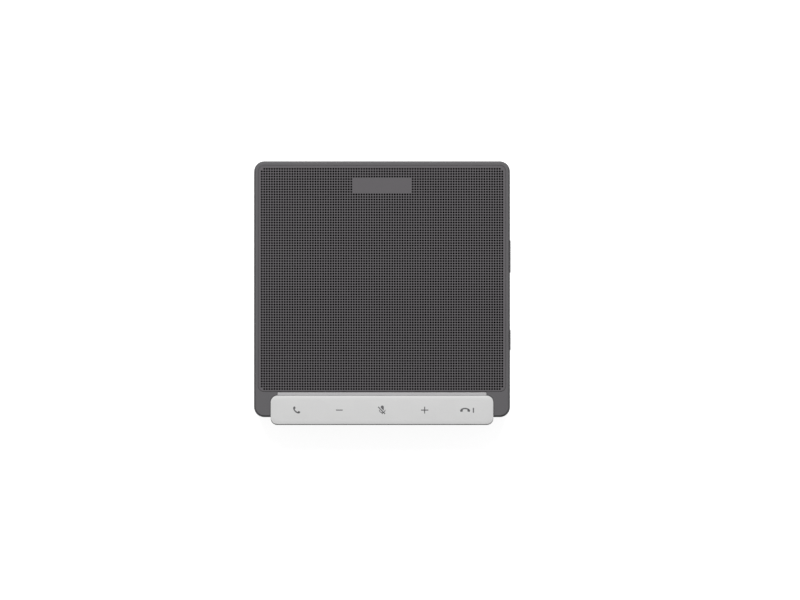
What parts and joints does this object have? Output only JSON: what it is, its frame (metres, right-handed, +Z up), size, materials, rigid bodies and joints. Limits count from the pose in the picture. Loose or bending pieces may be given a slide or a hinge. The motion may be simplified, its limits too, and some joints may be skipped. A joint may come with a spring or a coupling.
{
  "type": "conference microphone",
  "caption": "Square desk speakerphone: perforated grey steel top over a loudspeaker and hidden microphones, with a silver bar of touch keys along the front.",
  "frame": {"origin": "middle of the casing on the plane of the rubber foot's underside, where the device rests on the table", "axes": "+X to the right as the user sees the keys, +Y away from the user, +Z up"},
  "size_m": [0.1003, 0.1031, 0.0252],
  "materials": {
    "foot_rubber": "fine matt",
    "casing": "fine matt grey",
    "grille_steel": "perforated, painted grey",
    "cloth": "woven acoustic cloth",
    "bar_silver": "satin silver film",
    "inner_plastic": "moulded",
    "side_key_plastic": "fine matt",
    "switch_plastic": "moulded",
    "switch_case": "stamped",
    "screw_steel": "zinc plated",
    "circuit_board": "solder mask",
    "lamp": "clear over phosphor",
    "clear_plastic": "milky clear",
    "basket_steel": "black coat",
    "motor_steel": "zinc plated",
    "magnet_nickel": "nickel plated",
    "copper": "enamelled wire",
    "diaphragm_paper": "coated",
    "soft_rubber": "moulded",
    "spider_cloth": "resin dipped",
    "foam": "open cell foam",
    "capsule_can": "pressed can",
    "chip_black": "moulded",
    "can_steel": "tin plated",
    "connector_white": "moulded",
    "ribbon_film": "polyimide film",
    "socket_steel": "drawn",
    "socket_black": "moulded",
    "battery_foil": "foil pouch"
  },
  "bodies": {
    "casing": {"foot_pad": "foot_rubber", "base_cover": "casing", "upper_housing": "casing", "grille_sheet": "grille_steel", "grille_cloth": "cloth", "bar_skin": "bar_silver", "bar_carrier": "inner_plastic", "key_switches": "switch_case", "side_switches": "switch_case", "base_screws": "screw_steel", "bar_screws": "screw_steel", "speaker_screws": "screw_steel", "board_screws": "screw_steel", "keypad_board": "circuit_board", "side_board": "circuit_board", "microphone_boards": "circuit_board", "main_board": "circuit_board", "lamps": "lamp", "light_guide": "clear_plastic", "speaker_basket": "basket_steel", "speaker_yoke": "motor_steel", "pole_plate": "motor_steel", "speaker_magnet": "magnet_nickel", "surround": "soft_rubber", "microphone_boots": "soft_rubber", "spider": "spider_cloth", "speaker_gasket": "foam", "speaker_foam": "foam", "battery_tape": "foam", "microphone_capsules": "capsule_can", "board_chips": "chip_black", "shield_can": "can_steel", "board_connectors": "connector_white", "keypad_ribbon": "ribbon_film", "socket_shell": "socket_steel", "socket_tongue": "socket_black", "battery": "battery_foil"},
    "answer": {"answer_key": "inner_plastic", "answer_switch_button": "switch_plastic"},
    "volume_down": {"volume_down_key": "inner_plastic", "volume_down_switch_button": "switch_plastic"},
    "mute": {"mute_key": "inner_plastic", "mute_switch_button": "switch_plastic"},
    "volume_up": {"volume_up_key": "inner_plastic", "volume_up_switch_button": "switch_plastic"},
    "end_call": {"end_call_key": "inner_plastic", "end_call_switch_button": "switch_plastic"},
    "power": {"power_key": "side_key_plastic", "power_switch_button": "switch_plastic"},
    "pairing": {"pairing_key": "side_key_plastic", "pairing_switch_button": "switch_plastic"},
    "diaphragm": {"diaphragm": "diaphragm_paper", "voice_coil": "copper"}
  },
  "joints": [
    {"name": "answer_press", "type": "slide", "parent": "casing", "child": "answer", "axis": [0, 0, -1], "range_m": [0, 0.00025], "stiffness_N_per_m": 2000, "springref_m": -0.0002, "deforming": ["bar_skin"]},
    {"name": "volume_down_press", "type": "slide", "parent": "casing", "child": "volume_down", "axis": [0, 0, -1], "range_m": [0, 0.00025], "stiffness_N_per_m": 2000, "springref_m": -0.0002, "deforming": ["bar_skin"]},
    {"name": "mute_press", "type": "slide", "parent": "casing", "child": "mute", "axis": [0, 0, -1], "range_m": [0, 0.00025], "stiffness_N_per_m": 2000, "springref_m": -0.0002, "deforming": ["bar_skin"]},
    {"name": "volume_up_press", "type": "slide", "parent": "casing", "child": "volume_up", "axis": [0, 0, -1], "range_m": [0, 0.00025], "stiffness_N_per_m": 2000, "springref_m": -0.0002, "deforming": ["bar_skin"]},
    {"name": "end_call_press", "type": "slide", "parent": "casing", "child": "end_call", "axis": [0, 0, -1], "range_m": [0, 0.00025], "stiffness_N_per_m": 2000, "springref_m": -0.0002, "deforming": ["bar_skin"]},
    {"name": "power_press", "type": "slide", "parent": "casing", "child": "power", "axis": [-1, 0, 0], "range_m": [0, 0.00025], "stiffness_N_per_m": 2000, "springref_m": -0.0002},
    {"name": "pairing_press", "type": "slide", "parent": "casing", "child": "pairing", "axis": [-1, 0, 0], "range_m": [0, 0.00025], "stiffness_N_per_m": 2000, "springref_m": -0.0002},
    {"name": "diaphragm_stroke", "type": "slide", "parent": "casing", "child": "diaphragm", "axis": [0, 0, 1], "range_m": [-0.0008, 0.0008], "stiffness_N_per_m": 2500, "deforming": ["surround", "spider"]}
  ]
}
